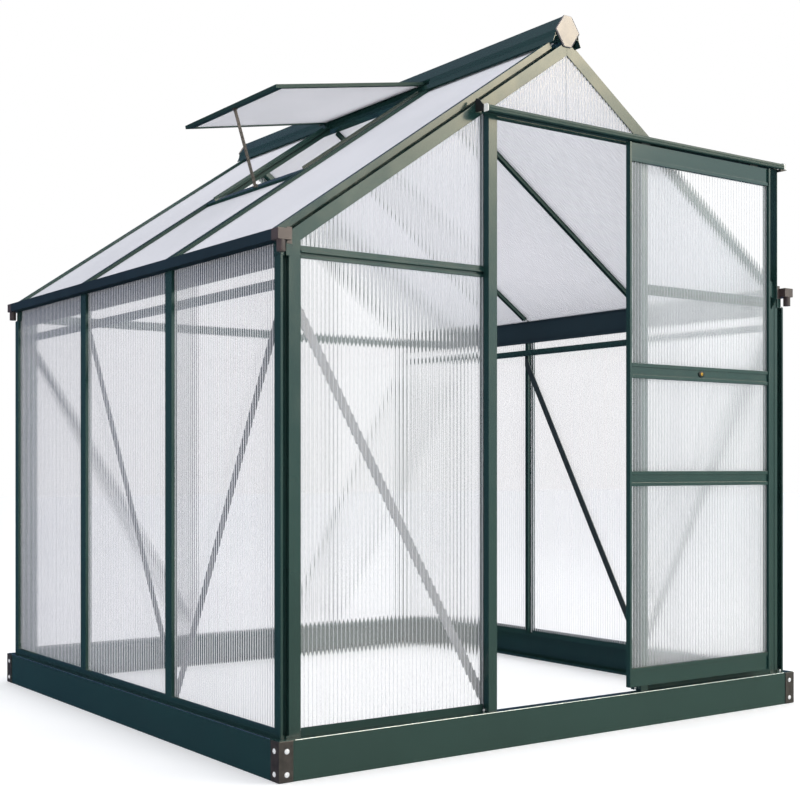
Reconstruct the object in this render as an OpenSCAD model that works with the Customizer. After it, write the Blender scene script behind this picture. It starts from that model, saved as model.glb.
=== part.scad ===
// Walk-in greenhouse: extruded frame, twin-wall glazing, one sliding door, one raised roof vent.
// Origin on the ground at the middle of the footprint, +Z up, door gable towards -Y.

/* [Building] */
// Width across the base
base_w = 1900; // [1700:10:2300]
// Depth of the base, door gable to rear gable
base_d = 1880; // [1600:10:2500]
// Height of the gutter rim above the ground
eave_h = 1323; // [1200:1:1500]
// Roof pitch in degrees
pitch = 34.7; // [31:0.1:38]

/* [Base] */
// Height of the folded base rails
base_h = 100; // [80:1:140]
// Width of the rails' top and bottom flanges
base_flange = 32; // [24:1:45]
// Height of the rails' return lips
base_lip = 9; // [5:1:16]
// Sheet thickness of rails and brackets
sheet_t = 2; // [1.5:0.1:3]
// Length of each corner bracket leg
bracket_leg = 40; // [25:1:70]

/* [Frame extrusions] */
// Width of the outer flange on posts, studs and bars
flange_w = 34; // [28:1:40]
// Wall thickness of the extrusions
wall_t = 2; // [1.6:0.1:2.4]
// Inset of the side wall plane from the base
side_in = 20; // [16:1:26]
// Inset of the gable plane from the base
gable_in = 31; // [28:1:38]
// Depth of a glazing bar, outer face to inner face
bar_depth = 26; // [22:1:34]
// Width of a glazing bar's bolt channel
channel_w = 16; // [13:1:20]
// Width of the slot in a bolt channel
slot_w = 6; // [5:0.5:8]
// Width of the side studs and the roof bars
bar_w = 40; // [34:1:44]
// Depth of their hollow head, in front of the sheets
bar_head = 9; // [7:0.5:9.5]
// Drop from the gutter rim to the centre line of the inner side rails
side_rail_drop = 122; // [112:1:170]
// Drop from the gutter rim to the gable rails' lower edge
gable_rail_drop = 63; // [56:1:120]
// Width of the flat braces
brace_w = 25; // [16:1:34]
// Thickness of the flat braces
brace_t = 3; // [2:0.1:4]

/* [Gutter] */
// Width of the gutter
gutter_w = 38; // [34:1:41]
// Depth of the gutter
gutter_h = 27; // [20:1:34]
// Length of each end cap
cap_len = 33; // [26:1:45]
// Radius of the rain outlets
spout_r = 11; // [8:0.5:12]
// Length of the rain outlets
spout_len = 28; // [15:1:45]
// Height of the eave plate inside the gutter
plate_h = 56; // [40:1:75]

/* [Glazing] */
// Thickness of the twin-wall sheets
glaze_t = 4; // [3.5:0.1:4.2]

/* [Ridge] */
// Width of the ridge beam
ridge_w = 84; // [70:1:100]
// Width of the ridge beam's flat top
ridge_top = 26; // [18:1:36]
// Depth of the ridge beam below its widest line
ridge_low = 32; // [28:1:36]
// Thickness of the ridge end caps
ridge_cap_t = 3.5; // [2.5:0.1:5]
// Depth of a gable rafter, roof face to lower edge
rafter_h = 55.2; // [52:0.2:64]
// Depth from the roof face to the rafter's front band
nose_h = 22.2; // [20:0.1:25]
// Height of the dark gap between the nose and the band
groove_w = 4.6; // [3:0.1:6]
// Setback of the rafter's nose behind the band
nose_back = 20; // [16:0.5:24]

/* [Vent] */
// Length of the vent, hinge to free edge
vent_len = 550; // [480:5:640]
// Opening angle in degrees
vent_angle = 24.5; // [8:0.5:34]
// Thickness of the vent frame
vent_t = 11; // [10:0.5:14]
// Width of the vent's side members
vent_rail = 13; // [12:0.5:24]
// Width of the vent's free end member
vent_end = 26; // [18:1:34]
// Width of the plate over the sheet at the hinge
vent_hinge = 44; // [24:1:56]

/* [Door] */
// Width of the door
door_w = 614; // [560:2:680]
// Gap between the open door and its stop
stop_gap = 46; // [20:1:90]
// Thickness of the door
door_t = 16.7; // [16:0.1:20]
// Height of the bottom edge above the base
door_rise = 21; // [10:1:40]
// Width of a stile's front face
stile_w = 7; // [6:0.5:10]
// Width of a stile's rear lip
stile_lip = 18; // [14:1:24]
// Height of the bottom rail and the header
door_rail_h = 54; // [40:1:70]
// Height of the two middle rails
mid_rail_h = 43; // [30:1:60]
// Height of the lower middle rail's bottom edge
mid_z = 698; // [600:1:760]
// Height of the lock rail's bottom edge
lock_z = 1009; // [900:1:1060]
// Half the distance between the door posts' centres
post_x = 285.5; // [265:0.5:300]
// Width of a door post
post_w = 29; // [24:1:36]
// Height of the door track
track_h = 18; // [16:1:22]
// Reach of the track in front of the door posts
track_d = 32; // [30:1:38]

/* [Hidden] */
fit = 0.3; // clearance between seated parts
big = 4000;
mitre = 2 * base_h; // reach of the cuts at the base corners
hw = base_w / 2;
post_y = 10; // front face of the door posts, from the base front
front_over = track_d - post_y;
y0 = -(base_d - front_over) / 2;
ta = tan(pitch);
ca = cos(pitch);
sa = sin(pitch);
apex_z = eave_h - 7.4 + hw * ta;
rafter_drop = (rafter_h + fit) / ca;
ridge_drop = 0.6;
ridge_z = apex_z - ridge_drop;
ridge_h = (ridge_w - ridge_top) / 2 / ta; // half the height of the ridge beam
ridge_s = ridge_w / 2 * ca + ridge_drop * sa;
lip_x = ridge_w / 2 + 11.5; // reach of the flashing below the ridge beam
roof_s0 = ridge_s + fit;
roof_s1 = (hw - 14) / ca;
side_rail_z = eave_h - side_rail_drop;
gable_rail_z = eave_h - gable_rail_drop;
bay_d = (base_d - 2 * gable_in) / 3;
bar1_y = gable_in + bay_d;
bar2_y = gable_in + 2 * bay_d;
pane_v = wall_t + fit; // depth of the gable sheets behind the frame's face
pane_deep = bar_head + fit; // the same for the side and roof sheets
pane_in = 3;
eave_floor = eave_h - gutter_h;
post_face = 25.5; // side face of a corner post to its gable flange
post_box = 40.5; // side face of a corner post to the back of its box
corner_x = side_in + post_box;
corner_y = gable_in + 16;
gutter_start = gable_in + 6; // end of the trough, inside the cap
rafter_box = 32.2; // roof face to the underside of the rafter's box
nose_in = nose_back + 12; // band's face to the back of the nose
sill_h = 20;
track_top = apex_z - (post_x + post_w / 2) * ta - rafter_drop + 10;
track_z = track_top - track_h;
track_x0 = -post_x - post_w / 2 - 24.5;
track_x1 = hw - 75;
upright_x = track_x1 + 2;
door_z = base_h + door_rise;
door_top = track_z - 5;
stop_x = track_x1 - 15;
door_x = stop_x - stop_gap - door_w;
door_gap = 10.3; // door's back to the front of the door posts
door_y = post_y - door_gap - door_t;
slot_y = door_y + door_t / 2;
rail_set = 5.6; // setback of the door rails behind the stiles' front
pane_set = 8.4; // setback of the door sheets
vent_sill_s = ridge_s + vent_len;
hinge_s = ridge_s + 5.2;
hinge_v = -10;
vent_y0 = bar1_y + 9;
vent_y1 = bar2_y - 9;
brace_top = side_rail_z - 12 - brace_w / 2;
brace_foot = base_h + 22;

// ---------- placing helpers ----------
// Heights are from the ground, x from the centre line, y from the base front.
function roof_z(x) = apex_z - abs(x) * ta;
function under_z(x) = roof_z(x) - rafter_drop;

module yard() {
  translate([0, y0, 0])
    children();
}

module both_sides() {
  children();
  mirror([1, 0, 0])
    children();
}

module both_gables() {
  children();
  translate([0, base_d, 0])
    mirror([0, 1, 0])
      children();
}

module to_rear() {
  translate([0, base_d, 0])
    mirror([0, 1, 0])
      children();
}

// Flat shape in (y, z), run along x.
module run_x(xa, xb) {
  translate([xa, 0, 0])
    rotate([90, 0, 90])
      linear_extrude(xb - xa)
        children();
}

// Flat shape in (x, z), run along y.
module run_y(ya, yb) {
  translate([0, yb, 0])
    rotate([90, 0, 0])
      linear_extrude(yb - ya)
        children();
}

// Flat shape in (x, y), run along z.
module run_z(za, zb) {
  translate([0, 0, za])
    linear_extrude(zb - za)
      children();
}

// Left roof slope: local x runs down the slope from the apex, local z is the depth under the roof face.
module slope() {
  translate([0, 0, apex_z])
    rotate([0, 180 - pitch, 0])
      children();
}

module box(lo, hi) {
  translate(lo)
    cube(hi - lo);
}

// Everything above the underside of the gable rafters.
module above_rafters() {
  run_y(-big, big)
    polygon([
      [-hw, under_z(hw)],
      [0, under_z(0)],
      [hw, under_z(hw)],
      [hw, big],
      [-hw, big]
    ]);
}

// ---------- extruded sections ----------
// Folded base rail: outer face on x = 0, inside towards +x.
module base_section() {
  t = sheet_t;
  f = base_flange;
  polygon([
    [0, 0], [f, 0], [f, base_lip], [f - t, base_lip], [f - t, t], [t, t],
    [t, base_h - t], [f - t, base_h - t], [f - t, base_h - base_lip],
    [f, base_h - base_lip], [f, base_h], [0, base_h]
  ]);
}

// Glazing bar: head on y = 0 (flat, or hollow when deep), web and open bolt channel towards +y.
module bar_section(w, head) {
  t = wall_t;
  a = w / 2;
  c = channel_w / 2;
  s = slot_w / 2;
  d = bar_depth;
  k = max(d - 12, head + glaze_t + 3 * fit);
  difference() {
    polygon([
      [-a, 0], [a, 0], [a, head], [1.5, head],
      [1.5, k], [c, k], [c, d], [s, d], [s, d - t], [c - t, d - t],
      [c - t, k + t], [t - c, k + t], [t - c, d - t], [-s, d - t],
      [-s, d], [-c, d], [-c, k], [-1.5, k], [-1.5, head], [-a, head]
    ]);
    if (head > 3 * t)
      polygon([[t - a, t], [a - t, t], [a - t, head - t], [t - a, head - t]]);
  }
}

// Corner post: side flange on x = 0, gable flange on y = 0, open notch between them.
module corner_section() {
  t = wall_t;
  w = post_box;
  d = bar_depth;
  difference() {
    polygon([
      [0, post_face], [0, -4.5], [6.5, -4.5], [6.5, t - 4.5], [t, t - 4.5], [t, 14],
      [25, 14], [25, -1.5], [38.5, -1.5], [38.5, 0], [post_face + flange_w, 0],
      [post_face + flange_w, t], [w, t], [w, d - t], [w + 27, d - t], [w + 27, d],
      [w - t, d], [w - t, 16], [d, 16], [d, 44], [d - t, 44], [d - t, 16],
      [t, 16], [t, post_face - t], [bar_head, post_face - t], [bar_head, post_face]
    ]);
    polygon([[27, 0.5], [38.5 - 0.5, 0.5], [38.5 - 0.5, 14], [27, 14]]);
  }
}

// Door post: square tube in front, glazing web and bolt channel behind.
module door_post_section() {
  t = wall_t;
  p = post_w / 2;
  b = gable_in - post_y;
  d = b + bar_depth;
  k = d - 12;
  c = channel_w / 2;
  s = slot_w / 2;
  difference() {
    polygon([
      [-p, 0], [p, 0], [p, b], [1.5, b], [1.5, k], [c, k], [c, d], [s, d],
      [s, d - t], [c - t, d - t], [c - t, k + t], [t - c, k + t],
      [t - c, d - t], [-s, d - t], [-s, d], [-c, d], [-c, k], [-1.5, k],
      [-1.5, b], [-p, b]
    ]);
    polygon([[t - p, t], [p - t, t], [p - t, b - t], [t - p, b - t]]);
  }
}

// Gable rail in (y, z): a slot for the upper sheet, a grooved face, a slot for the lower sheet.
module rail_section() {
  g = glaze_t + 3;
  polygon([
    [0, 30], [0, 20], [-3, 18.5], [-3, 14], [5.5, 14], [5.5, 6], [-1, 6], [-1, 0],
    [1.5, 0], [1.5, 4], [g, 4], [g, 0], [g + 2, 0], [g + 2, 30], [g, 30],
    [g, 16], [2, 16], [2, 30]
  ]);
}

// Sill in (y, z): channel that holds the foot of a sheet, behind a front wall or box of depth s.
module sill_section(s) {
  t = wall_t;
  g = s + glaze_t + 1;
  h = sill_h;
  difference() {
    polygon([
      [0, 0], [g + t, 0], [g + t, 12], [g, 12], [g, 3], [s, 3], [s, h], [0, h]
    ]);
    if (s > 3 * t)
      polygon([[t, t], [s - t, t], [s - t, h - t], [t, h - t]]);
  }
}

// Gable rafter in (y, depth): front band, trough behind it, hollow nose set back, flange over the sheet.
module rafter_section() {
  t = wall_t;
  n = nose_back;
  m = nose_in;
  f = m + 8;
  v = nose_h;
  g = v - groove_w;
  b = rafter_box;
  difference() {
    polygon([
      [n, 0], [f, 0], [f, bar_head], [f - t, bar_head], [f - t, t], [m, t], [m, b],
      [t, b], [t, rafter_h], [0, rafter_h], [0, v], [t, v], [t, b - t],
      [m - t, b - t], [m - t, g], [n, g]
    ]);
    polygon([[n + t, t], [m - t, t], [m - t, g - t], [n + t, g - t]]);
  }
}

// Ridge beam in (x, z): six sides, lower faces square to the two slopes, cut off flat at a depth.
module ridge_shape(w, f, low) {
  h = (w - f) / 2 / ta;
  e = w / 2 - low * ta;
  polygon([
    [-w / 2, 0], [-f / 2, h], [f / 2, h], [w / 2, 0], [e, -low], [-e, -low]
  ]);
}

// ---------- base ----------
module base_long() {
  intersection() {
    run_x(-hw + sheet_t, hw - sheet_t)
      translate([sheet_t, 0])
        base_section();
    run_z(-1, base_h + 1)
      polygon([
        [-hw + fit, 0], [hw - fit, 0],
        [hw - fit - mitre, mitre], [-hw + fit + mitre, mitre]
      ]);
  }
}

module base_side() {
  intersection() {
    run_y(sheet_t, base_d - sheet_t)
      translate([sheet_t - hw, 0])
        base_section();
    run_z(-1, base_h + 1)
      polygon([
        [-hw, fit], [-hw, base_d - fit],
        [mitre - hw, base_d - fit - mitre], [mitre - hw, fit + mitre]
      ]);
  }
}

module base_front() {
  color("#45584f")
    yard()
      base_long();
}

module base_rear() {
  color("#45584f")
    yard()
      to_rear()
        base_long();
}

module base_left() {
  color("#2a4044")
    yard()
      base_side();
}

module base_right() {
  color("#2a4044")
    yard()
      mirror([1, 0, 0])
        base_side();
}

module base_brackets() {
  color("#45403d")
    yard()
      both_gables()
        both_sides()
          run_z(1, base_h - 1)
            polygon([
              [-hw, 0], [bracket_leg - hw, 0], [bracket_leg - hw, sheet_t],
              [sheet_t - hw, sheet_t], [sheet_t - hw, bracket_leg], [-hw, bracket_leg]
            ]);
}

// ---------- wall frame ----------
module corner_posts() {
  color("#3f564e")
    yard()
      both_gables()
        both_sides()
          difference() {
            run_z(base_h, eave_h + 60)
              translate([side_in - hw, gable_in])
                corner_section();
            box([-big, -big, eave_floor - fit], [gutter_w + 1 - hw, big, big]);
            above_rafters();
          }
}

module side_stud(y) {
  difference() {
    run_z(base_h, eave_floor - fit)
      translate([side_in - hw, y])
        rotate(-90)
          bar_section(bar_w, bar_head);
    box([gutter_w - 2 - fit - hw, -big, eave_floor - plate_h - fit], [0, big, big]);
  }
}

module side_studs_left() {
  color("#203a40")
    yard() {
      side_stud(bar1_y);
      side_stud(bar2_y);
    }
}

module side_studs_right() {
  color("#203a40")
    yard()
      mirror([1, 0, 0]) {
        side_stud(bar1_y);
        side_stud(bar2_y);
      }
}

module door_posts() {
  color("#3f564e")
    yard()
      both_sides()
        difference() {
          run_z(base_h, apex_z)
            translate([-post_x, post_y])
              door_post_section();
          above_rafters();
        }
}

module rear_posts() {
  color("#3f564e")
    yard()
      to_rear()
        both_sides()
          difference() {
            run_z(base_h, apex_z)
              translate([-post_x, gable_in])
                bar_section(flange_w, wall_t);
            above_rafters();
          }
}

module gable_sills() {
  xa = corner_x + fit - hw;
  color("#3f564e")
    yard() {
      both_gables()
        both_sides()
          run_x(xa + 20, -post_x - post_w / 2 - 3)
            translate([gable_in, base_h])
              sill_section(wall_t);
      to_rear()
        run_x(-post_x + post_w / 2 + 3, post_x - post_w / 2 - 3)
          translate([gable_in, base_h])
            sill_section(wall_t);
    }
}

module side_sill(ya, yb) {
  run_y(ya, yb)
    translate([side_in - hw, base_h])
      sill_section(bar_head);
}

module side_sills() {
  g = bar_w / 2 + fit;
  color("#203a40")
    yard()
      both_sides() {
        side_sill(gable_in + post_face + fit, bar1_y - g);
        side_sill(bar1_y + g, bar2_y - g);
        side_sill(bar2_y + g, base_d - gable_in - post_face - fit);
      }
}

// Open trough outside the wall plate.
module gutter() {
  t = 1.6;
  w = gutter_w - wall_t - fit;
  yard()
    run_y(gutter_start + fit, base_d - gutter_start - fit)
      translate([-hw, 0])
        polygon([
          [0, eave_floor], [w, eave_floor], [w, eave_h - 4], [w - t, eave_h - 4],
          [w - t, eave_floor + t], [t, eave_floor + t], [t, eave_h - t],
          [4, eave_h - t], [4, eave_h], [0, eave_h]
        ]);
}

// Wall plate: carries the gutter outside, the roof sheets on top and the side sheets below.
module eave_plate() {
  g = gutter_w;
  t = wall_t;
  foot = eave_floor - plate_h;
  top = roof_z(hw - g) - (pane_deep + glaze_t + fit) / ca;
  yard()
    run_y(gable_in + 35, base_d - gable_in - 35)
      translate([-hw, 0])
        polygon([
          [g - t, foot], [g + 5.5, foot], [g + 5.5, foot + 8], [g + 4, foot + 8],
          [g + 4, foot + t], [g, foot + t], [g, eave_h - t], [g + 5.5, eave_h - t],
          [g + 5.5, eave_h], [g, eave_h], [g, top], [g - t, top - t * ta]
        ]);
}

module gutter_left() {
  color("#273a43")
    gutter();
}

module gutter_right() {
  color("#273a43")
    mirror([1, 0, 0])
      gutter();
}

module eave_left() {
  color("#273a43")
    eave_plate();
}

module eave_right() {
  color("#273a43")
    mirror([1, 0, 0])
      eave_plate();
}

module gutter_caps() {
  color("#7f7270")
    yard()
      both_gables()
        both_sides() {
          box([-hw, gutter_start - cap_len, eave_floor], [gutter_w - hw, gutter_start, eave_h]);
          box([gutter_w - 1 - hw, gable_in - 5, eave_floor - 6],
              [gutter_w + 14 - hw, gable_in - 1.8, eave_h + 8]);
          translate([15 - hw, 16, eave_floor - spout_len])
            cylinder(h = spout_len + 1, r = spout_r, $fn = 40);
        }
}

module gable_rail(xa, xb) {
  run_x(xa, xb)
    translate([gable_in, gable_rail_z])
      rail_section();
}

module gable_rails_front() {
  color("#4c6a68")
    yard()
      both_sides()
        gable_rail(side_in + post_face + flange_w + fit - hw, -post_x - post_w / 2 - fit);
}

module gable_rails_rear() {
  g = flange_w / 2 + fit;
  color("#4c6a68")
    yard()
      to_rear() {
        both_sides()
          gable_rail(side_in + post_face + flange_w + fit - hw, -post_x - g);
        gable_rail(-post_x + g, post_x - g);
      }
}

module door_head() {
  color("#4c6a68")
    yard()
      difference() {
        run_x(-post_x, post_x)
          translate([gable_in, track_z])
            rail_section();
        above_rafters();
        both_sides()
          box([-big, 0, 0], [-post_x + post_w / 2 + fit, big, big]);
      }
}

module side_rails() {
  x = side_in + bar_depth;
  color("#1f3840")
    yard()
      both_sides()
        run_y(gable_in + 32, base_d - gable_in - 32)
          translate([x - hw, side_rail_z])
            polygon([[0, -11.5], [12, -11.5], [12, -9.5], [2, -9.5], [2, 11.5], [0, 11.5]]);
}

// ---------- roof frame ----------
// Flashing below the ridge beam, left side in (x, z): a web and a foot resting on the roof face.
module ridge_lip() {
  a = ridge_w / 2;
  b = a + 3.5;
  c = lip_x;
  translate([0, ridge_z])
    polygon([
      [-a + 9, -14.5], [-b, -17.5], [-c, roof_z(c) - ridge_z + fit],
      [2.5 - c, roof_z(c - 2.5) - ridge_z + fit], [2 - b, -19.2], [-a + 10.5, -16.5]
    ]);
}

// Upper half of the flashing, from the widest corner of the beam down to the web.
module ridge_apron() {
  a = ridge_w / 2;
  translate([0, ridge_z])
    polygon([[-a, 0], [-a - 3.5, -17.5], [-a - 1.3, -17.2], [-a + 1.2, -2]]);
}

module ridge_beam() {
  v = (nose_h - fit) / ca;
  color("#1f3a3d")
    yard() {
      difference() {
        run_y(gable_in, base_d - gable_in)
          difference() {
            translate([0, ridge_z])
              ridge_shape(ridge_w, ridge_top, ridge_low);
            translate([0, ridge_z])
              ridge_shape(ridge_w - 6, ridge_top - 3, ridge_low - 3);
          }
        both_gables()
          run_y(-1, gable_in + wall_t + fit)
            polygon([
              [-hw, apex_z - v - hw * ta], [0, apex_z - v], [hw, apex_z - v - hw * ta]
            ]);
      }
      run_y(gable_in, base_d - gable_in)
        both_sides()
          ridge_lip();
      both_sides()
        run_y(gable_in, bar1_y - bar_w / 2)
          ridge_apron();
      both_sides()
        run_y(bar2_y + bar_w / 2, base_d - gable_in)
          ridge_apron();
      mirror([1, 0, 0])
        run_y(bar1_y - bar_w, bar2_y + bar_w)
          ridge_apron();
    }
}

module ridge_caps() {
  color("#8a7d78")
    yard()
      both_gables()
        run_y(gable_in - ridge_cap_t - fit, gable_in - fit)
          translate([0, ridge_z])
            ridge_shape(ridge_w + 6, ridge_top + 3, ridge_h + 1.5 / ta);
}

module gable_rafter() {
  v = nose_h;
  difference() {
    slope()
      run_x(-80, roof_s1)
        translate([gable_in, 0])
          rafter_section();
    slope() {
      box([-big, -1, -1], [roof_s0, big, v]);
      box([-big, gable_in + wall_t, -1], [roof_s0, big, big]);
      box([-big, -1, wall_t], [roof_s0 + 22, big, v]);
    }
    box([-fit / 2, -1, 0], [big, big, big]);
    box([-big, -1, 0], [gutter_w + 1 - hw, big, eave_h + fit]);
  }
}

module rafters_left() {
  color("#7f8471")
    yard()
      both_gables()
        gable_rafter();
}

module rafters_right() {
  color("#7f8471")
    yard()
      both_gables()
        mirror([1, 0, 0])
          gable_rafter();
}

module roof_bar(y) {
  slope()
    difference() {
      run_x(roof_s0, roof_s1)
        translate([y, 0])
          bar_section(bar_w, bar_head);
      box([(hw - gutter_w - 8) / ca, y - 50, pane_deep + glaze_t], [big, y + 50, 100]);
    }
}

module roof_bars_left() {
  color("#24393d")
    yard() {
      roof_bar(bar1_y);
      roof_bar(bar2_y);
    }
}

module roof_bars_right() {
  color("#24393d")
    yard()
      mirror([1, 0, 0]) {
        roof_bar(bar1_y);
        roof_bar(bar2_y);
      }
}

// ---------- glazing ----------
module side_panes() {
  x = side_in + pane_deep - hw;
  for (p = [
    [corner_y + fit, bar1_y - pane_in],
    [bar1_y + pane_in, bar2_y - pane_in],
    [bar2_y + pane_in, base_d - corner_y - fit]
  ])
    box([x, p[0], base_h + 4], [x + glaze_t, p[1], eave_floor - fit]);
}

module glazing_left() {
  color("#e8edf2", 0.45)
    yard()
      side_panes();
}

module glazing_right() {
  color("#e8edf2", 0.45)
    yard()
      mirror([1, 0, 0])
        side_panes();
}

// Sheet in a gable bay, between xa and xb, cut off along the rafter.
module gable_sheet(xa, xb, za) {
  y = gable_in + pane_v;
  d = max((rafter_box + 1.5) / ca, ridge_drop + ridge_low + fit);
  run_y(y, y + glaze_t)
    polygon([
      [xa, za], [xb, za], [xb, roof_z(xb) - d], [xa, roof_z(xa) - d]
    ]);
}

module gable_side_sheets(inner) {
  xa = corner_x + 1 - hw;
  y = gable_in + pane_v;
  box([xa, y, base_h + 4], [inner, y + glaze_t, gable_rail_z + 3]);
  gable_sheet(xa, inner, gable_rail_z + 17);
}

module glazing_front() {
  color("#e8edf2", 0.45)
    yard() {
      both_sides()
        gable_side_sheets(-post_x - pane_in);
      both_sides()
        gable_sheet(-post_x + pane_in, -fit / 2, track_z + 17);
    }
}

module glazing_rear() {
  x = post_x - pane_in;
  color("#e8edf2", 0.45)
    yard()
      to_rear() {
        both_sides()
          gable_side_sheets(-post_x - pane_in);
        box([-x, gable_in + pane_v, base_h + 4],
            [x, gable_in + pane_v + glaze_t, gable_rail_z + 3]);
        both_sides()
          gable_sheet(-x, -fit / 2, gable_rail_z + 17);
      }
}

module roof_sheet(ya, yb, sa0) {
  slope()
    box([sa0, ya, pane_deep], [roof_s1, yb, pane_deep + glaze_t]);
}

module roof_glazing_left() {
  color("#d5d8e4", 0.6)
    yard() {
      roof_sheet(gable_in + nose_in + fit, bar1_y - pane_in, roof_s0);
      roof_sheet(bar1_y + pane_in, bar2_y - pane_in, vent_sill_s + 12);
      roof_sheet(bar2_y + pane_in, base_d - gable_in - nose_in - fit, roof_s0);
    }
}

module roof_glazing_right() {
  color("#d5d8e4", 0.6)
    yard()
      mirror([1, 0, 0]) {
        roof_sheet(gable_in + nose_in + fit, bar1_y - pane_in, roof_s0);
        roof_sheet(bar1_y + pane_in, bar2_y - pane_in, roof_s0);
        roof_sheet(bar2_y + pane_in, base_d - gable_in - nose_in - fit, roof_s0);
      }
}

// ---------- roof vent, held open ----------
module vent_pose() {
  yard()
    slope()
      translate([hinge_s, 0, hinge_v])
        rotate([0, vent_angle, 0])
          children();
}

// The sheet runs on under the hinge plate, so its end shows from below.
module vent_frame() {
  m = vent_t / 2;
  g = glaze_t / 2 + 0.2;
  lap = 6;
  ya = vent_y0 + vent_rail;
  yb = vent_y1 - vent_rail;
  color("#33433f")
    vent_pose()
      difference() {
        box([0, vent_y0, -vent_t], [vent_len, vent_y1, 0]);
        box([vent_hinge, ya, -big], [vent_len - vent_end, yb, big]);
        box([-1, ya, -m], [vent_len - vent_end, yb, big]);
        box([-1, ya - lap, -m - g], [vent_len - vent_end + lap, yb + lap, g - m]);
      }
}

module vent_glazing() {
  m = vent_t / 2;
  g = glaze_t / 2;
  lap = 5;
  color("#d5d8e4", 0.6)
    vent_pose()
      box([1, vent_y0 + vent_rail - lap, -m - g],
          [vent_len - vent_end + lap, vent_y1 - vent_rail + lap, g - m]);
}

module vent_sill() {
  g = bar_w / 2 + fit;
  t = wall_t;
  d = pane_deep + glaze_t + 3;
  color("#24393d")
    yard()
      slope() {
        translate([vent_sill_s, 0, 0])
          run_y(bar1_y + g, bar2_y - g)
            polygon([
              [0, 0], [flange_w, 0], [flange_w, bar_head], [flange_w - t, bar_head],
              [flange_w - t, t], [11, t], [11, d], [22, d], [22, d + t], [8, d + t],
              [8, t], [0, t]
            ]);
        for (y = [bar1_y + g, bar2_y - g - 2.5])
          box([lip_x / ca + 1, y, -7], [vent_sill_s - fit, y + 2.5, t]);
      }
}

// Flat stay with a foot on the vent sill and a head under the vent's free edge.
module vent_stay() {
  y = (bar1_y + bar2_y) / 2 - 18;
  c = cos(vent_angle);
  s = sin(vent_angle);
  e = vent_len - vent_end / 2;
  p = [vent_sill_s + 16, -3];
  q = [hinge_s + e * c + 3 * s, hinge_v - e * s + 3 * c];
  len = norm(q - p);
  a = atan2(p[1] - q[1], p[0] - q[0]);
  color("#5a5350") {
    yard()
      slope() {
        box([p[0] - 7, y - 5, -4], [p[0] + 7, y + 5, 0]);
        translate([p[0], y, p[1]])
          rotate([0, 180 - a, 0])
            translate([0, -1.5, -5])
              cube([len, 3, 10]);
      }
    vent_pose()
      box([e - 7, y - 5, 0], [e + 7, y + 5, 4]);
  }
}

// ---------- braces ----------
// Flat bar in the (a, z) plane between two points, ends cut upright.
module brace(a0, z0, a1, z1) {
  ang = atan2(z1 - z0, a1 - a0);
  intersection() {
    translate([a0, z0])
      rotate(ang)
        translate([-60, -brace_w / 2])
          square([norm([a1 - a0, z1 - z0]) + 120, brace_w]);
    translate([min(a0, a1), base_h + 4])
      square([abs(a1 - a0), side_rail_z - 16 - base_h]);
  }
}

module side_braces() {
  x = side_in + bar_depth - hw;
  translate([x, 0, 0])
    rotate([90, 0, 90])
      linear_extrude(brace_t) {
        brace(gable_in + 20, brace_top, bar1_y - fit, brace_foot);
        brace(bar2_y + 8, brace_top, bar1_y + fit, brace_foot);
      }
}

module gable_braces() {
  y = gable_in + bar_depth;
  both_sides()
    run_y(y, y + brace_t)
      brace(corner_x + 4 - hw, brace_top, 8 - post_x, brace_foot);
}

module braces_left() {
  color("#2b3236")
    yard()
      side_braces();
}

module braces_right() {
  color("#2b3236")
    yard()
      mirror([1, 0, 0])
        side_braces();
}

module braces_front() {
  color("#2b3236")
    yard()
      gable_braces();
}

module braces_rear() {
  color("#2b3236")
    yard()
      to_rear()
        gable_braces();
}

// ---------- door track ----------
module door_track() {
  d = track_d;
  h = track_h;
  s = slot_y - post_y + d;
  color("#5f7a76")
    yard()
      run_x(track_x0, track_x1)
        translate([post_y - d, track_z])
          polygon([
            [s - 4, 0], [s - 4, 2], [2.5, 2], [2.5, h - 4], [4, h - 2], [d - 2, h - 2],
            [d - 2, 2], [s + 4, 2], [s + 4, 0], [d, 0], [d, h], [5, h], [2, h - 1.4],
            [0.5, h - 3.6], [0, h - 6], [0, h / 2 - 0.4], [0.8, h / 2 - 1.2],
            [0, h / 2 - 2], [0, 3], [1, 1], [3, 0]
          ]);
}

// End plate of the track in (y, z), a little taller than the track.
module cap_plate() {
  d = track_d;
  h = track_h;
  translate([post_y - d, track_z])
    polygon([
      [2, 0.5], [d - 14, 0.5], [d - 14, h + 3], [6, h + 3], [1.5, h - 1], [0.5, h - 6], [0.5, 3]
    ]);
}

module track_caps() {
  color("#d9d9d6")
    yard() {
      run_x(track_x0 - 3 - fit, track_x0 - fit)
        cap_plate();
      run_x(track_x1 + fit, track_x1 + 9)
        cap_plate();
    }
}

// Plate that ties the closed end of the track to the gable rafter.
module track_bracket() {
  d = post_y - track_d + 18 + fit;
  h = track_h;
  color("#262422")
    yard()
      run_x(track_x0 - 3 - fit, track_x0 - fit)
        translate([0, track_z])
          polygon([
            [d, 4], [gable_in, 7], [gable_in, h + 25], [gable_in - 6, h + 24],
            [gable_in - 13, h + 20], [gable_in - 21, h + 13], [gable_in - 29, h + 5],
            [d, h + 3]
          ]);
}

// Wedge under the open end of the track.
module door_stop() {
  color("#1d1b1a")
    yard()
      run_y(post_y - track_d + 2, post_y - track_d + 20)
        translate([0, track_z])
          polygon([
            [stop_x, 0], [stop_x + 1, -8], [stop_x + 30, -1], [stop_x + 30, 0]
          ]);
}

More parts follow.
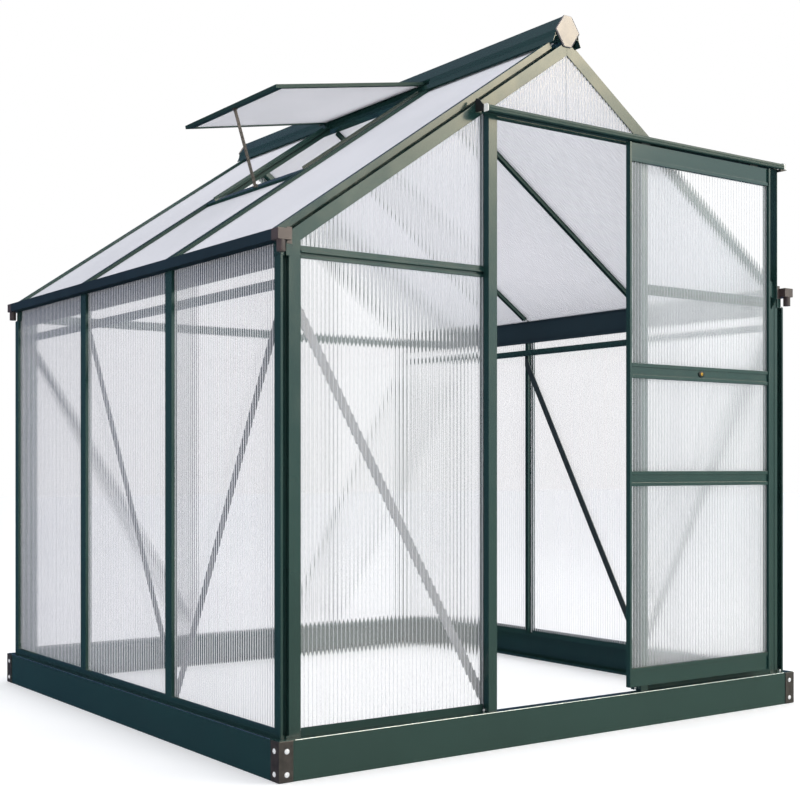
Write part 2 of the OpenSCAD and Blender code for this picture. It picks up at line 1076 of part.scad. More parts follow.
// Angle from the corner post up to the track, with an ear and a slanted foot.
module track_upright() {
  x = upright_x;
  t = 2.5;
  foot = gable_rail_z - 5;
  ear = foot + 35;
  back = post_y + 9;
  free = roof_z(x) - nose_h / ca + 3; // above the rafter's band
  color("#20393c")
    yard() {
      run_x(x, x + t)
        polygon([
          [post_y - 1.3, track_z + 10], [post_y - 1.3, ear], [gable_in, foot],
          [gable_in, free], [gable_in + 4, free + 2], [gable_in + 4, track_z + 10]
        ]);
      run_y(back, back + t)
        polygon([
          [x - 24, ear + 6], [x + 1, ear - 4], [x + 1, ear + 24], [x - 1, ear + 34],
          [x - 6, ear + 44], [x - 14, ear + 52], [x - 24, ear + 55]
        ]);
    }
}

// ---------- sliding door ----------
module door_frame() {
  yard()
    translate([door_x, door_y, 0])
      children();
}

// Door rail: hollow bar set back behind the stiles, with glazing slots and a bead at slotted edges.
module door_rail(z, h, slot_up, slot_down) {
  t = door_t;
  f = rail_set;
  p = pane_set - fit;
  q = pane_set + glaze_t + fit;
  bead = 10;
  door_frame()
    difference() {
      run_x(stile_w + fit, door_w - stile_w - fit)
        translate([0, z])
          difference() {
            union() {
              translate([f, 0])
                square([t - f, h]);
              if (slot_up)
                translate([f - 3, h - bead])
                  square([4, bead]);
              if (slot_down)
                translate([f - 3, 0])
                  square([4, bead]);
            }
            translate([f + wall_t, bead + 2])
              square([t - f - 2 * wall_t, h - 2 * bead - 4]);
            if (slot_up)
              translate([p, h - 7])
                square([q - p, 8]);
            if (slot_down)
              translate([p, -1])
                square([q - p, 8]);
          }
      for (m = [0, 1])
        translate([m * door_w, 0, 0])
          mirror([m, 0, 0])
            box([-1, q - fit, 0], [stile_lip + fit, big, big]);
    }
}

module door_stiles() {
  t = door_t;
  q = pane_set + glaze_t + fit;
  color("#35504b")
    door_frame()
      for (m = [0, 1])
        translate([m * door_w, 0, 0])
          mirror([m, 0, 0])
            run_z(door_z, door_top)
              difference() {
                polygon([
                  [0, 0], [stile_w, 0], [stile_w, q], [stile_lip, q], [stile_lip, t], [0, t]
                ]);
                polygon([
                  [1.5, 1.5], [stile_w - 1.5, 1.5], [stile_w - 1.5, t - 1.5], [1.5, t - 1.5]
                ]);
              }
}

module door_header() {
  color("#66797a")
    door_rail(door_top - door_rail_h, door_rail_h, false, true);
}

module door_lock_rail() {
  color("#4d6763")
    door_rail(lock_z, mid_rail_h, true, true);
}

module door_mid_rail() {
  color("#4d6763")
    door_rail(mid_z, mid_rail_h, true, true);
}

module door_bottom_rail() {
  color("#435851")
    door_rail(door_z, door_rail_h, true, false);
}

module door_pane(za, zb) {
  door_frame()
    box([stile_w + fit, pane_set, za - 6], [door_w - stile_w - fit, pane_set + glaze_t, zb + 6]);
}

module door_glazing() {
  color("#e8edf2", 0.45) {
    door_pane(door_z + door_rail_h, mid_z);
    door_pane(mid_z + mid_rail_h, lock_z);
    door_pane(lock_z + mid_rail_h, door_top - door_rail_h);
  }
}

module door_latch() {
  color("#26231f")
    door_frame()
      translate([door_w / 2, rail_set, lock_z + mid_rail_h / 2])
        rotate([90, 0, 0]) {
          translate([-9, -7, 0])
            cube([18, 14, 2]);
          for (x = [-9, 9])
            translate([x, 0, 0])
              cylinder(h = 2, r = 7, $fn = 32);
          cylinder(h = 4, r = 4.5, $fn = 32);
        }
}

module door_hangers() {
  c = slot_y - door_y;
  r = 4.5;
  z = track_z + 2 + fit + r;
  color("#6f6d69")
    door_frame()
      for (x = [70, door_w - 70]) {
        box([x - 18, c - 2, door_top], [x + 18, c + 2, z + 3]);
        translate([x, c + 8, z])
          rotate([90, 0, 0])
            cylinder(h = 16, r = r, $fn = 32);
      }
}

base_front();
base_rear();
base_left();
base_right();
base_brackets();
corner_posts();
side_studs_left();
side_studs_right();
door_posts();
rear_posts();
gable_sills();
side_sills();
gutter_left();
gutter_right();
eave_left();
eave_right();
gutter_caps();
gable_rails_front();
gable_rails_rear();
door_head();
side_rails();
ridge_beam();
ridge_caps();
rafters_left();
rafters_right();
roof_bars_left();
roof_bars_right();
glazing_left();
glazing_right();
glazing_front();
glazing_rear();
roof_glazing_left();
roof_glazing_right();
vent_frame();
vent_glazing();
vent_sill();
vent_stay();
braces_left();
braces_right();
braces_front();
braces_rear();
door_track();
track_caps();
track_bracket();
door_stop();
track_upright();
door_stiles();
door_header();
door_lock_rail();
door_mid_rail();
door_bottom_rail();
door_glazing();
door_latch();
door_hangers();
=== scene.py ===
"""Looks for the walk-in greenhouse: finishes, twin-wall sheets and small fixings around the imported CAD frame.

Metres, in the CAD's own frame: the ground is z = 0 and the door gable faces -Y.
"""

import math

import bmesh
import bpy
from mathutils import Matrix, Vector


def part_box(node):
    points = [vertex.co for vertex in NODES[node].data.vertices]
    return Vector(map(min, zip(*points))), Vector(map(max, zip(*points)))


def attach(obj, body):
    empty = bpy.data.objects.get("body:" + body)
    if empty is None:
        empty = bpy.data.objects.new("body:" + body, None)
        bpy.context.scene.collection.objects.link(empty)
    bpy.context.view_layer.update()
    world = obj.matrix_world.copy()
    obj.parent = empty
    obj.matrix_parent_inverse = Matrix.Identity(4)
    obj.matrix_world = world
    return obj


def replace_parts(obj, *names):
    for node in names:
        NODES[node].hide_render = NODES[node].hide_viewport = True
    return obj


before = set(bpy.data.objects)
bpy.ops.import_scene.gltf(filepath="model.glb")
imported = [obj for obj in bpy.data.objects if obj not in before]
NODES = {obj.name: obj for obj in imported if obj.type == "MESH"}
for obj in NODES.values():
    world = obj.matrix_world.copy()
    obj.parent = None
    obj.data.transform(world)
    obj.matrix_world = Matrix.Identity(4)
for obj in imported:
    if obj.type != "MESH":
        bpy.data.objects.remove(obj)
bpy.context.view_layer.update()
MM = 0.001
UP = Vector((0, 0, 1))
EAST = Vector((1, 0, 0))

# ---------------------------------------------------------------- camera
CAMERA_AT = (-2.5631, -3.67975, 0.75131)
CAMERA_YAW = math.radians(-35.553)
CAMERA_LENS = 60.27
CAMERA_SENSOR = 36
CAMERA_SHIFT = 0.0845

camera_data = bpy.data.cameras.new("camera")
camera_data.lens = CAMERA_LENS
camera_data.sensor_width = CAMERA_SENSOR
camera_data.shift_y = CAMERA_SHIFT
camera_data.clip_start = 0.05
camera_data.clip_end = 100
camera = bpy.data.objects.new("camera", camera_data)
camera.location = CAMERA_AT
camera.rotation_euler = (math.pi / 2, 0, CAMERA_YAW)
bpy.context.scene.collection.objects.link(camera)
bpy.context.scene.camera = camera


# ---------------------------------------------------------------- node trees
def srgb(code):
    """A hex colour as linear RGB."""
    out = []
    for i in (1, 3, 5):
        c = int(code[i:i + 2], 16) / 255
        out.append(c / 12.92 if c <= 0.04045 else ((c + 0.055) / 1.055) ** 2.4)
    return tuple(out)


def set_input(node, name, value):
    """Set a node's input; the name has underscores where the socket has spaces."""
    node.inputs[name.replace("_", " ")].default_value = value


class Nodes:
    """A node tree and shortcuts to add, link and ramp."""

    def __init__(self, tree):
        self.tree = tree

    def node(self, kind, **values):
        made = self.tree.nodes.new("ShaderNode" + kind)
        for key, value in values.items():
            if hasattr(made, key):
                setattr(made, key, value)
            else:
                set_input(made, key, value)
        return made

    def link(self, source, socket):
        self.tree.links.new(source, socket)

    def ramp(self, source, stops):
        """Colours over a number; each stop is a place from 0 to 1 and linear RGB."""
        made = self.node("ValToRGB")
        band = made.color_ramp
        while len(band.elements) > 1:
            band.elements.remove(band.elements[-1])
        for i, (at, colour) in enumerate(stops):
            stop = band.elements[0] if i == 0 else band.elements.new(at)
            stop.position = at
            stop.color = (*colour, 1)
        self.link(source, made.inputs["Fac"])
        return made.outputs["Color"]


# ---------------------------------------------------------------- finishes
class Finish(Nodes):
    """A Principled material, patterned in object coordinates."""

    def __init__(self, name, **sockets):
        self.material = bpy.data.materials.new(name)
        self.material.use_nodes = True
        super().__init__(self.material.node_tree)
        self.shader = self.tree.nodes["Principled BSDF"]
        self.place = self.node("TexCoord").outputs["Object"]
        for key, value in sockets.items():
            set_input(self.shader, key, value)

    def noise(self, scale, detail=2, stretch=(1, 1, 1)):
        mapping = self.node("Mapping", Scale=stretch)
        self.link(self.place, mapping.inputs["Vector"])
        made = self.node("TexNoise", Scale=scale, Detail=detail)
        self.link(mapping.outputs["Vector"], made.inputs["Vector"])
        return made.outputs["Fac"]

    def drift(self, source, low, high, spread, socket):
        """Let an input of the shader drift between two values with a noise around 0.5."""
        ramp = self.ramp(source, [(0.5 - spread, low), (0.5 + spread, high)])
        self.link(ramp, self.shader.inputs[socket])

    def colour(self, dark, light, source, spread=0.2):
        self.drift(source, srgb(dark), srgb(light), spread, "Base Color")

    def rough(self, low, high, source):
        self.drift(source, (low,) * 3, (high,) * 3, 0.2, "Roughness")

    def bump(self, source, depth):
        made = self.node("Bump", Strength=1, Distance=depth)
        self.link(source, made.inputs["Height"])
        self.link(made.outputs["Normal"], self.shader.inputs["Normal"])


def paint(name, low=0.16, high=0.26, ior=1.8, dark="#1b3532", light="#1f3b37"):
    """Satin powder coat: faint tone drift and a fine orange peel."""
    f = Finish(name, IOR=ior)
    f.colour(dark, light, f.noise(2.3, detail=4))
    f.rough(low, high, f.noise(14, detail=3))
    f.bump(f.noise(900), depth=0.02 * MM)
    return f.material


def plastic(name, dark, light, low=0.4, high=0.55, depth=0.06 * MM, ior=1.5):
    """Moulded plastic with a fine grain."""
    f = Finish(name, IOR=ior)
    f.colour(dark, light, f.noise(9, detail=4), spread=0.15)
    f.rough(low, high, f.noise(30))
    f.bump(f.noise(420, detail=3), depth)
    return f.material


def metal(name, dark, light, low, high, metallic=1.0, stretch=(1, 1, 1)):
    """Drawn or plated metal; stretch lays its grain along one axis."""
    f = Finish(name, Metallic=metallic)
    f.colour(dark, light, f.noise(60, detail=3, stretch=stretch))
    f.rough(low, high, f.noise(40, detail=3, stretch=stretch))
    f.bump(f.noise(700, stretch=stretch), depth=0.03 * MM)
    return f.material


PITCH = 12.1 * MM  # of the ribs and flutes
WAVE_UNIT = 2 * math.pi / 20  # a wave texture of this scale repeats once a metre


def sheet(name, dark, light, clear, low, high, way, depth, gloss=0.15):
    """The skins of a sheet: each flute bends the view sideways like a small lens."""
    f = Finish(name, Transmission_Weight=clear, IOR=1.5, Specular_IOR_Level=gloss)
    haze = f.noise(1.7, detail=3)
    f.colour(dark, light, haze)
    f.rough(low, high, haze)
    flutes = f.node("TexWave", bands_direction=way, Scale=WAVE_UNIT / PITCH)
    f.link(f.place, flutes.inputs["Vector"])
    f.bump(flutes.outputs["Fac"], depth)
    return f.material


def rib(name, dark, light, alpha):
    """The webs between the two skins of a sheet."""
    f = Finish(name, Alpha=alpha, IOR=1.5)
    f.colour(dark, light, f.noise(2.1))
    f.rough(0.3, 0.4, f.noise(20))
    return f.material


ROLLED = (1, 1, 0.2)  # grain along the length of an upright strip

GREEN = paint("green_satin")
DULL = paint("green_dull", low=0.4, high=0.5, ior=1.4)
SMOOTH = paint("green_smooth", low=0.06, high=0.1)
GUTTER = paint("gutter_satin", low=0.3, high=0.42, ior=1.5, dark="#1c2b32", light="#203139")
BRACKET = metal("bracket_bronze", "#3a3533", "#4d4643", low=0.35, high=0.5, metallic=0.3)
CAP = plastic("cap_brown", "#473b3a", "#524645", low=0.28, high=0.38, ior=1.7)
RIDGE_CAP = plastic("ridge_cap_brown", "#6f6a6c", "#7b7577", low=0.12, high=0.2, depth=0.03 * MM, ior=1.8)
GABLE_SKIN = sheet("gable_skin", "#fcfbfc", "#fffeff", clear=0.91, low=0, high=0.01, way="X", depth=0.4 * MM)
SIDE_SKIN = sheet("side_skin", "#fbfafb", "#fffeff", clear=0.92, low=0, high=0.01, way="Y", depth=0.05 * MM)
ROOF_SKIN = sheet(
    "roof_skin", "#e0e0e5", "#eae9ee", clear=0.15, low=0.1, high=0.2, way="Y", depth=1.2 * MM, gloss=0
)
GABLE_RIB = rib("gable_rib", "#d2d2d8", "#e4e4ea", alpha=0.4)
WALL_RIB = rib("wall_rib", "#f0f0f5", "#fbfbff", alpha=1)
ROOF_RIB = rib("roof_rib", "#c8ccd6", "#dadde6", alpha=0.5)
STEEL = metal("brace_steel", "#2a3335", "#384245", low=0.3, high=0.42, metallic=0.3, stretch=ROLLED)
# A lighter copy of the brace steel, used on the front braces only: painted light standing in for the light
# their front faces catch.
LIT_BRACE = metal("brace_painted_light", "#75747a", "#88878d", low=0.3, high=0.42, metallic=0.3, stretch=ROLLED)
STAY = plastic("stay_bronze", "#443e3c", "#564f4c", low=0.4, high=0.5)
BRASS = metal("lock_brass", "#c08c2c", "#e0b050", low=0.25, high=0.35, metallic=0.7)
BLACK = plastic("latch_black", "#161615", "#22211f", low=0.3, high=0.42)
BOLT = metal("bolt_zinc", "#e6e7e8", "#f8f8f8", low=0.3, high=0.42, metallic=0.15)
# Bright metal for the bead on the base rails' top edge: a painted highlight of the rounded edge.
EDGE_HIGHLIGHT = metal("edge_painted_highlight", "#bfc6cc", "#dfe5ec", low=0.25, high=0.35)
HANGER = metal("hanger_grey", "#2c3233", "#3a4041", low=0.4, high=0.5, metallic=0.3)
LIGHT_CAP = plastic("track_cap_light", "#cfcfcb", "#dededa", low=0.35, high=0.5)

# The finish of every CAD node that isn't satin green, apart from the ones that a piece below replaces.
FINISHES = (
    (GUTTER, ("gutter_left", "gutter_right", "eave_left", "eave_right")),
    (CAP, ("gutter_caps",)),
    (BRACKET, ("base_brackets",)),
    (RIDGE_CAP, ("ridge_caps",)),
    (STEEL, ("braces_left", "braces_right", "braces_rear")),
    # The front braces get the lighter copy of the brace steel: painted light on their faces.
    (LIT_BRACE, ("braces_front",)),
    (BLACK, ("track_bracket", "door_stop")),
    (LIGHT_CAP, ("track_caps",)),
    (DULL, ("door_track", "roof_bars_left", "roof_bars_right", "vent_frame", "gable_sills")),
    (SMOOTH, ("door_header",)),
    (STAY, ("vent_stay",)),
    (HANGER, ("door_hangers",)),
)


def dress(node, material):
    """Give a CAD node its finish."""
    mesh = NODES[node].data
    mesh.materials.clear()
    mesh.materials.append(material)


for name in NODES:
    dress(name, GREEN)
for finish, names in FINISHES:
    for name in names:
        dress(name, finish)

# Width and steps of the small rounding on a node's sharp edges.
ROUNDED = (
    (0.45 * MM, 2, (
        "base_front", "base_rear", "base_left", "base_right", "corner_posts", "door_posts", "rear_posts",
        "side_studs_left", "side_studs_right", "rafters_left", "rafters_right", "door_track", "door_stiles",
        "door_header", "door_lock_rail", "door_mid_rail", "door_bottom_rail", "vent_frame", "track_upright",
    )),
    (0.8 * MM, 2, ("ridge_beam", "base_brackets")),
    (3 * MM, 4, ("ridge_caps",)),
    (1.4 * MM, 3, ("gutter_caps",)),
)
SHARP = math.radians(35)
WELD = 0.02 * MM


def soften(node, width, segments):
    """Round a CAD node's sharp edges a little, so that they catch the light."""
    thing = NODES[node]
    weld = thing.modifiers.new("weld", "WELD")
    weld.merge_threshold = WELD
    bevel = thing.modifiers.new("bevel", "BEVEL")
    bevel.width = width
    bevel.segments = segments
    bevel.limit_method = "ANGLE"
    bevel.angle_limit = SHARP


for width, segments, names in ROUNDED:
    for name in names:
        soften(name, width, segments)


# ---------------------------------------------------------------- mesh helpers
TINY = 1e-9


def seat(node):
    """The low and the high corner of a CAD node's box."""
    low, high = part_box(node)
    return Vector(low), Vector(high)


def islands(node):
    """The separate solids of a CAD node, as lists of (normal, area, points)."""
    made = bmesh.new()
    made.from_mesh(NODES[node].data)
    bmesh.ops.remove_doubles(made, verts=made.verts, dist=1e-6)
    out = []
    seen = set()
    for first in made.faces:
        if first in seen:
            continue
        seen.add(first)
        todo = [first]
        solid = []
        while todo:
            face = todo.pop()
            solid.append((face.normal.copy(), face.calc_area(), [v.co.copy() for v in face.verts]))
            for edge in face.edges:
                for other in edge.link_faces:
                    if other not in seen:
                        seen.add(other)
                        todo.append(other)
        out.append(solid)
    made.free()
    return out


def hull_2d(points):
    """Convex outline of flat points, counter-clockwise."""
    points = sorted(set((round(x, 6), round(y, 6)) for x, y in points))

    def half(run):
        line = []
        for p in run:
            while len(line) > 1:
                (ax, ay), (bx, by) = line[-2], line[-1]
                if (bx - ax) * (p[1] - ay) - (by - ay) * (p[0] - ax) > TINY:
                    break
                line.pop()
            line.append(p)
        return line[:-1]

    return half(points) + half(points[::-1])


def sides(outline):
    """The pairs of neighbouring points round a closed outline."""
    return zip(outline, outline[1:] + outline[:1])


def span_at(outline, x):
    """Lowest and highest y of a convex outline at x."""
    ys = []
    for (ax, ay), (bx, by) in sides(outline):
        if min(ax, bx) <= x <= max(ax, bx) and abs(ax - bx) > TINY:
            ys.append(ay + (by - ay) * (x - ax) / (bx - ax))
    return (min(ys), max(ys)) if ys else (0, 0)


def ring(made, centre, u, v, radius, count, turn=0.0):
    """Points round a centre, in the plane of u and v; turn shifts them by a share of one step."""
    angles = [2 * math.pi * (i + turn) / count for i in range(count)]
    return [made.verts.new(centre + u * (radius * math.cos(a)) + v * (radius * math.sin(a))) for a in angles]


def loft(made, rings, material=0):
    """Closed solid through a list of rings."""
    faces = [made.faces.new(rings[0][::-1]), made.faces.new(rings[-1])]
    for a, b in zip(rings, rings[1:]):
        for i in range(len(a)):
            j = (i + 1) % len(a)
            faces.append(made.faces.new([a[i], a[j], b[j], b[i]]))
    for face in faces:
        face.material_index = material


def prism(made, outline, low, high, turn=Matrix.Identity(4), material=0):
    """Flat outline in (x, y), extruded from low to high along z, then turned."""
    ends = [[made.verts.new(turn @ Vector((x, y, z))) for x, y in outline] for z in (low, high)]
    loft(made, ends, material)


def piece(name, made, materials, body):
    """Turn a bmesh into an object that rides on a body."""
    mesh = bpy.data.meshes.new(name)
    bmesh.ops.recalc_face_normals(made, faces=made.faces)
    made.to_mesh(mesh)
    made.free()
    for material in materials:
        mesh.materials.append(material)
    thing = bpy.data.objects.new(name, mesh)
    bpy.context.scene.collection.objects.link(thing)
    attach(thing, body)
    return thing


# ---------------------------------------------------------------- twin-wall sheets
RIB = 0.8 * MM  # thickness of a rib
CLEAR = 0.3 * MM  # from a rib to the skins and to the sheet's ends
SHORTEST_RIB = 4 * MM


def outward(normal):
    """One fixed side of a sheet: upwards on the roof, +X or +Y on a wall."""
    return -normal if normal.dot(Vector((0.1, 0.01, 1))) < 0 else normal


def twin_wall(node, name, skin, rib, body):
    """A clear sheet with its ribs inside, in the place of each flat sheet of a CAD node."""
    made = bmesh.new()
    for solid in islands(node):
        normal = outward(max(solid, key=lambda face: face[1])[0])
        across = Vector((normal.y, -normal.x, 0)).normalized()
        along = across.cross(normal)
        turn = Matrix((across, along, normal)).transposed().to_4x4()
        flat = turn.transposed()
        points = [flat @ p for face in solid for p in face[2]]
        low = min(p.z for p in points)
        high = max(p.z for p in points)
        outline = hull_2d([(p.x, p.y) for p in points])
        prism(made, outline, low, high, turn)
        first = math.ceil(min(x for x, _ in outline) / PITCH)
        last = math.floor(max(x for x, _ in outline) / PITCH)
        for i in range(first, last + 1):
            x = i * PITCH
            a, b = span_at(outline, x)
            if b - a > SHORTEST_RIB:
                a += CLEAR
                b -= CLEAR
                corners = [(x - RIB / 2, a), (x + RIB / 2, a), (x + RIB / 2, b), (x - RIB / 2, b)]
                prism(made, corners, low + CLEAR, high - CLEAR, turn, material=1)
    thing = piece(name, made, [skin, rib], body)
    thing.visible_shadow = False
    thing.visible_diffuse = False
    thing.visible_glossy = False
    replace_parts(thing, node)


for node, name, skin, web in (
    ("glazing_left", "sheets_left", SIDE_SKIN, WALL_RIB),
    ("glazing_right", "sheets_right", SIDE_SKIN, WALL_RIB),
    ("glazing_front", "sheets_front", GABLE_SKIN, GABLE_RIB),
    ("glazing_rear", "sheets_rear", GABLE_SKIN, GABLE_RIB),
):
    twin_wall(node, name, skin, web, "frame")
for node, name in (
    ("roof_glazing_left", "roof_sheets_left"),
    ("roof_glazing_right", "roof_sheets_right"),
    ("vent_glazing", "vent_sheet"),
):
    twin_wall(node, name, ROOF_SKIN, ROOF_RIB, "frame")
twin_wall("door_glazing", "door_sheets", GABLE_SKIN, GABLE_RIB, "door")


# ---------------------------------------------------------------- small fixings
# Washer, head and hex socket of a bolt, as shares of its radius and its height.
BOLT_PROFILE = (
    (1.35, 0), (1.35, 0.16), (1, 0.18), (1, 0.5), (0.86, 0.82), (0.6, 1), (0.5, 1), (0.46, 0.6)
)
BRACKET_BOLT = (5 * MM, 3 * MM)  # radius and height
BRACKET_BOLT_Z = (19.5 * MM, 75 * MM)
BRACKET_BOLT_IN = 22 * MM  # from the bracket's corner
FOOT_BOLT = (2.8 * MM, 2 * MM)
FOOT_BOLT_AT = ((-303 * MM, 104 * MM), (264 * MM, 108 * MM), (915 * MM, 103 * MM))  # x and z


def bolt(made, at, axis, size):
    """Round bolt head with a washer and a shallow socket, on a face that looks along axis."""
    radius, height = size
    axis = Vector(axis)
    u = axis.orthogonal().normalized()
    v = axis.cross(u)
    rings = [
        ring(made, Vector(at) + axis * (h * height), u, v, r * radius, 16) for r, h in BOLT_PROFILE
    ]
    loft(made, rings)


def base_bolts():
    """Bolts through the base brackets, the feet of the posts and the front sill."""
    made = bmesh.new()
    low, high = seat("base_brackets")
    for z in BRACKET_BOLT_Z:
        for y, out_y in ((low.y, -1), (high.y, 1)):
            for x, out_x in ((low.x, -1), (high.x, 1)):
                bolt(made, (x - out_x * BRACKET_BOLT_IN, y, z), (0, out_y, 0), BRACKET_BOLT)
                bolt(made, (x, y - out_y * BRACKET_BOLT_IN, z), (out_x, 0, 0), BRACKET_BOLT)
    front = seat("corner_posts")[0].y
    for x, z in FOOT_BOLT_AT:
        bolt(made, (x, front, z), (0, -1, 0), FOOT_BOLT)
    piece("base_bolts", made, [BOLT], "frame")


HEAD_FLANGE = 14 * MM  # inwards along the gable
HEAD_EAR = 12 * MM  # outwards, behind the gutter
HEAD_EAR_DEPTH = 6 * MM
HEAD_WALL = 2 * MM
HEAD_DROP = 6 * MM  # below the rain outlets
HEAD_GAP = 0.3 * MM  # under the gutter
FOOT_GAP = 0.2 * MM  # above the base rail
FOOT_HEIGHT = 6 * MM


def post_heads():
    """The heads of the corner posts behind the gutter outlets, and their feet."""
    made = bmesh.new()
    posts, eave = seat("corner_posts"), seat("eave_left")
    low = seat("gutter_caps")[0].z - HEAD_DROP
    high = seat("gutter_left")[0].z - HEAD_GAP
    foot = seat("base_left")[1].z + FOOT_GAP
    x = eave[0].x
    for side in (1, -1):
        for y0, y1 in ((posts[0].y, eave[0].y), (posts[1].y, eave[1].y)):
            way = math.copysign(1, y1 - y0)
            wall = y0 + way * HEAD_WALL
            ear = y0 + way * HEAD_EAR_DEPTH
            outline = [
                (x, y0), (x + HEAD_FLANGE, y0), (x + HEAD_FLANGE, wall), (x + HEAD_WALL, wall),
                (x + HEAD_WALL, y1), (x - HEAD_EAR, y1), (x - HEAD_EAR, ear), (x, ear),
            ]
            outline = [(side * px, py) for px, py in outline]
            prism(made, outline, low, high)
            prism(made, outline, foot, foot + FOOT_HEIGHT)
    piece("post_heads", made, [GREEN], "frame")


BEAD = 1.1 * MM  # radius
BEAD_PROUD = 0.3 * MM
BEAD_END = 44 * MM  # from the rail's end, clear of the bracket


def base_edge_highlights():
    """A bright metal bead along the top of the base rails: a painted highlight where their rounded edge catches
    the light.
    """
    made = bmesh.new()
    for node, axis, face in (
        ("base_front", 0, 0), ("base_rear", 0, 1), ("base_left", 1, 0), ("base_right", 1, 1)
    ):
        box = seat(node)
        way = 1 if face == 0 else -1
        start, end = Vector(), Vector()
        for point, at in ((start, box[0][axis] + BEAD_END), (end, box[1][axis] - BEAD_END)):
            point[axis] = at
            point[1 - axis] = box[face][1 - axis] + way * (BEAD - BEAD_PROUD)
            point.z = box[1].z - BEAD + BEAD_PROUD
        v = (end - start).cross(UP).normalized()
        loft(made, [ring(made, at, UP, v, BEAD, 10, turn=0.5) for at in (start, end)])
    piece("base_edge_highlights", made, [EDGE_HIGHLIGHT], "frame")


STAY_T = 3 * MM
HOLE_PITCH = 14 * MM
HOLE_PROFILE = ((3.2, -0.1), (3.2, 0.1), (2.8, 0.15))  # radius and height in mm


def stay_hole_shade():
    """The row of holes along the strip that holds the vent open, drawn as black discs: painted shade in the
    holes.
    """
    made = bmesh.new()
    low, high = seat("vent_stay")
    front = (low.y + high.y) / 2 - STAY_T / 2
    strip = NODES["vent_stay"].data.vertices
    flat = hull_2d([(v.co.x, v.co.z) for v in strip if abs(v.co.y - front) < 0.1 * MM])
    runs = [Vector(b) - Vector(a) for a, b in sides(flat)]
    along = max(runs, key=lambda run: run.length)
    centre = sum((Vector(c) for c in flat), Vector((0, 0))) / len(flat)
    count = int(along.length / HOLE_PITCH) - 1
    for i in range(count):
        at = centre + along.normalized() * ((i - (count - 1) / 2) * HOLE_PITCH)
        rings = [
            ring(made, Vector((at.x, front - h * MM, at.y)), EAST, UP, r * MM, 12) for r, h in HOLE_PROFILE
        ]
        loft(made, rings)
    # Black discs where the holes are: painted shade, not real openings.
    piece("stay_hole_shade", made, [BLACK], "frame")


LOCK_ASIDE = 4 * MM  # left of the middle of the latch
OVAL = 1.36  # width over height of the rosette
ROSETTE_PROFILE = ((9, 0), (9, 2.2), (8.3, 3.0), (5.2, 3.4))  # radius and height in mm
BARREL_PROFILE = ((4.6, 3.2), (4.6, 4.0), (4.0, 4.4), (1.3, 4.4), (1.2, 3.9))


def door_lock():
    """An oval black rosette with a brass barrel."""
    made = bmesh.new()
    low, high = seat("door_latch")
    x, y, z = (low.x + high.x) / 2 - LOCK_ASIDE, high.y, (low.z + high.z) / 2
    for material, wide, profile in ((0, OVAL, ROSETTE_PROFILE), (1, 1, BARREL_PROFILE)):
        rings = [ring(made, Vector((x, y - h * MM, z)), EAST * wide, UP, r * MM, 24) for r, h in profile]
        loft(made, rings, material)
    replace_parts(piece("lock", made, [BLACK, BRASS], "door"), "door_latch")


base_bolts()
post_heads()
base_edge_highlights()
stay_hole_shade()
door_lock()

# ---------------------------------------------------------------- studio
FLOOR_REACH = 30

floor_mesh = bpy.data.meshes.new("floor")
floor_mesh.from_pydata(
    [(x * FLOOR_REACH, y * FLOOR_REACH, 0) for x, y in ((-1, -1), (1, -1), (1, 1), (-1, 1))], [], [(0, 1, 2, 3)]
)
floor = bpy.data.objects.new("floor", floor_mesh)
bpy.context.scene.collection.objects.link(floor)
pale = Finish("floor_pale", Roughness=0.9, Emission_Color=(1, 1, 1, 1), Emission_Strength=0.2)
pale.colour("#f8f8f8", "#fbfbfb", pale.noise(0.6))
pale.material.cycles.emission_sampling = "NONE"
floor_mesh.materials.append(pale.material)
floor.visible_glossy = False

# The world: plain white behind, even soft light, and for gloss one tall warm softbox at the front right.
WHITE = (1, 1, 1, 1)
SOFT_LIGHT = (0.84, 0.86, 0.9, 1)
GLOSS_PEAK = 7.0
BAND_AT = (0.643, -0.766, 0)  # the heading at which the band of light stands highest
BAND_TILT = 0.034  # how far it drops to the sides, by...
BAND_EDGE = 0.985  # ...this cosine from BAND_AT
FRONT_AT = (0.616, -0.788, 0)  # the middle of the bright side
FRONT_FROM, FRONT_TO = 0.25, 0.8  # cosines from it over which dark turns to bright
# Colours of the reflected light by height, from 0 straight down to 1 straight up, before GLOSS_PEAK.
FRONT_WASH = (
    (0.30, (0.030, 0.038, 0.030)),
    (0.40, (0.049, 0.061, 0.047)),
    (0.488, (0.056, 0.080, 0.073)),
    (0.536, (0.110, 0.133, 0.130)),
    (0.595, (0.140, 0.165, 0.160)),
    (0.6065, (0.19, 0.215, 0.205)),
    (0.619, (0.52, 0.46, 0.34)),
    (0.642, (1.10, 0.95, 0.68)),
    (0.68, (1.10, 0.98, 0.80)),
    (0.78, (0.7, 0.68, 0.64)),
    (0.90, (0.15, 0.15, 0.15)),
)
DARK_WASH = (
    (0.45, (0.003, 0.006, 0.014)),
    (0.70, (0.010, 0.014, 0.024)),
    (0.90, (0.025, 0.03, 0.038)),
)

world = bpy.data.worlds.new("studio")
world.use_nodes = True
world.cycles.sampling_method = "NONE"
bpy.context.scene.world = world
sky = Nodes(world.node_tree)


def vector_math(operation, source, other=None, **values):
    """A Vector Math node on a vector and, for most operations, a fixed second one."""
    made = sky.node("VectorMath", operation=operation, **values)
    if other:
        made.inputs[1].default_value = other
    sky.link(source, made.inputs[0])
    return made.outputs


def map_range(source, **values):
    made = sky.node("MapRange", **values)
    sky.link(source, made.inputs["Value"])
    return made.outputs["Result"]


def mix(factor, a, b):
    """Blend two colours; each is a socket or a fixed colour."""
    made = sky.node("Mix", data_type="RGBA")
    sky.link(factor, made.inputs[0])
    for socket, value in ((made.inputs[6], a), (made.inputs[7], b)):
        if isinstance(value, tuple):
            socket.default_value = value
        else:
            sky.link(value, socket)
    return made.outputs[2]


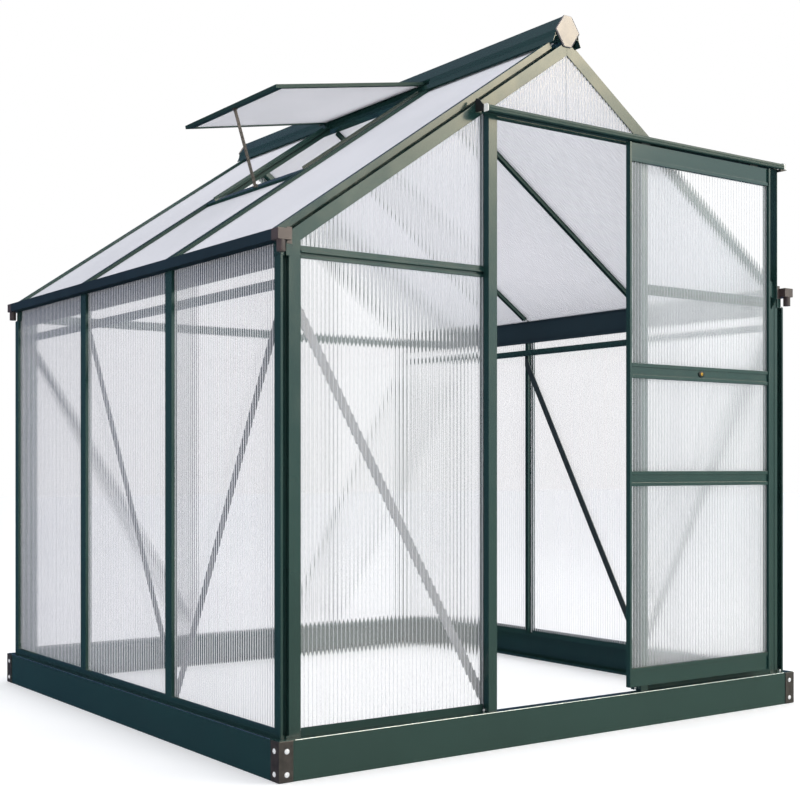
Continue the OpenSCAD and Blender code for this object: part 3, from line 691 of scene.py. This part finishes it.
towards = sky.node("TexCoord").outputs["Generated"]
split = sky.node("SeparateXYZ")
sky.link(towards, split.inputs[0])
height = map_range(split.outputs["Z"], From_Min=-1)
level = vector_math("MULTIPLY", towards, (1, 1, 0))["Vector"]
heading = vector_math("NORMALIZE", level)["Vector"]
aside = vector_math("DOT_PRODUCT", heading, BAND_AT)["Value"]
tilt = map_range(aside, From_Min=BAND_EDGE, To_Min=-BAND_TILT, To_Max=0)
raised = sky.node("Math", operation="ADD")
sky.link(height, raised.inputs[0])
sky.link(tilt, raised.inputs[1])
front_wash = sky.ramp(raised.outputs["Value"], FRONT_WASH)
dark_wash = sky.ramp(height, DARK_WASH)
facing = vector_math("DOT_PRODUCT", towards, FRONT_AT)["Value"]
side = map_range(facing, interpolation_type="SMOOTHSTEP", From_Min=FRONT_FROM, From_Max=FRONT_TO)
gloss = vector_math("SCALE", mix(side, dark_wash, front_wash), Scale=GLOSS_PEAK)["Vector"]
path = sky.node("LightPath").outputs
soft = mix(path["Is Glossy Ray"], SOFT_LIGHT, gloss)
through = mix(path["Is Transmission Ray"], soft, WHITE)
seen = mix(path["Is Camera Ray"], through, WHITE)
background = sky.tree.nodes["Background"]
sky.link(seen, background.inputs["Color"])
background.inputs["Strength"].default_value = 1


def softbox(name, at, target, size, power, colour=(1, 1, 1)):
    """An area light that aims at a target and isn't seen itself."""
    data = bpy.data.lights.new(name, "AREA")
    data.shape = "RECTANGLE"
    data.size, data.size_y = size
    data.energy = power
    data.color = colour
    lamp = bpy.data.objects.new(name, data)
    lamp.location = at
    lamp.rotation_euler = (Vector(target) - Vector(at)).to_track_quat("-Z", "Y").to_euler()
    lamp.visible_camera = False
    lamp.visible_glossy = False
    lamp.visible_transmission = False
    bpy.context.scene.collection.objects.link(lamp)


softbox("top", at=(0, 0, 6), target=(0, 0, 0), size=(9, 9), power=70)
softbox("key", at=(4.5, -5.5, 4.2), target=(0, 0, 1.2), size=(4, 3), power=160, colour=(1, 0.95, 0.88))

view = bpy.context.scene.view_settings
view.view_transform = "Standard"
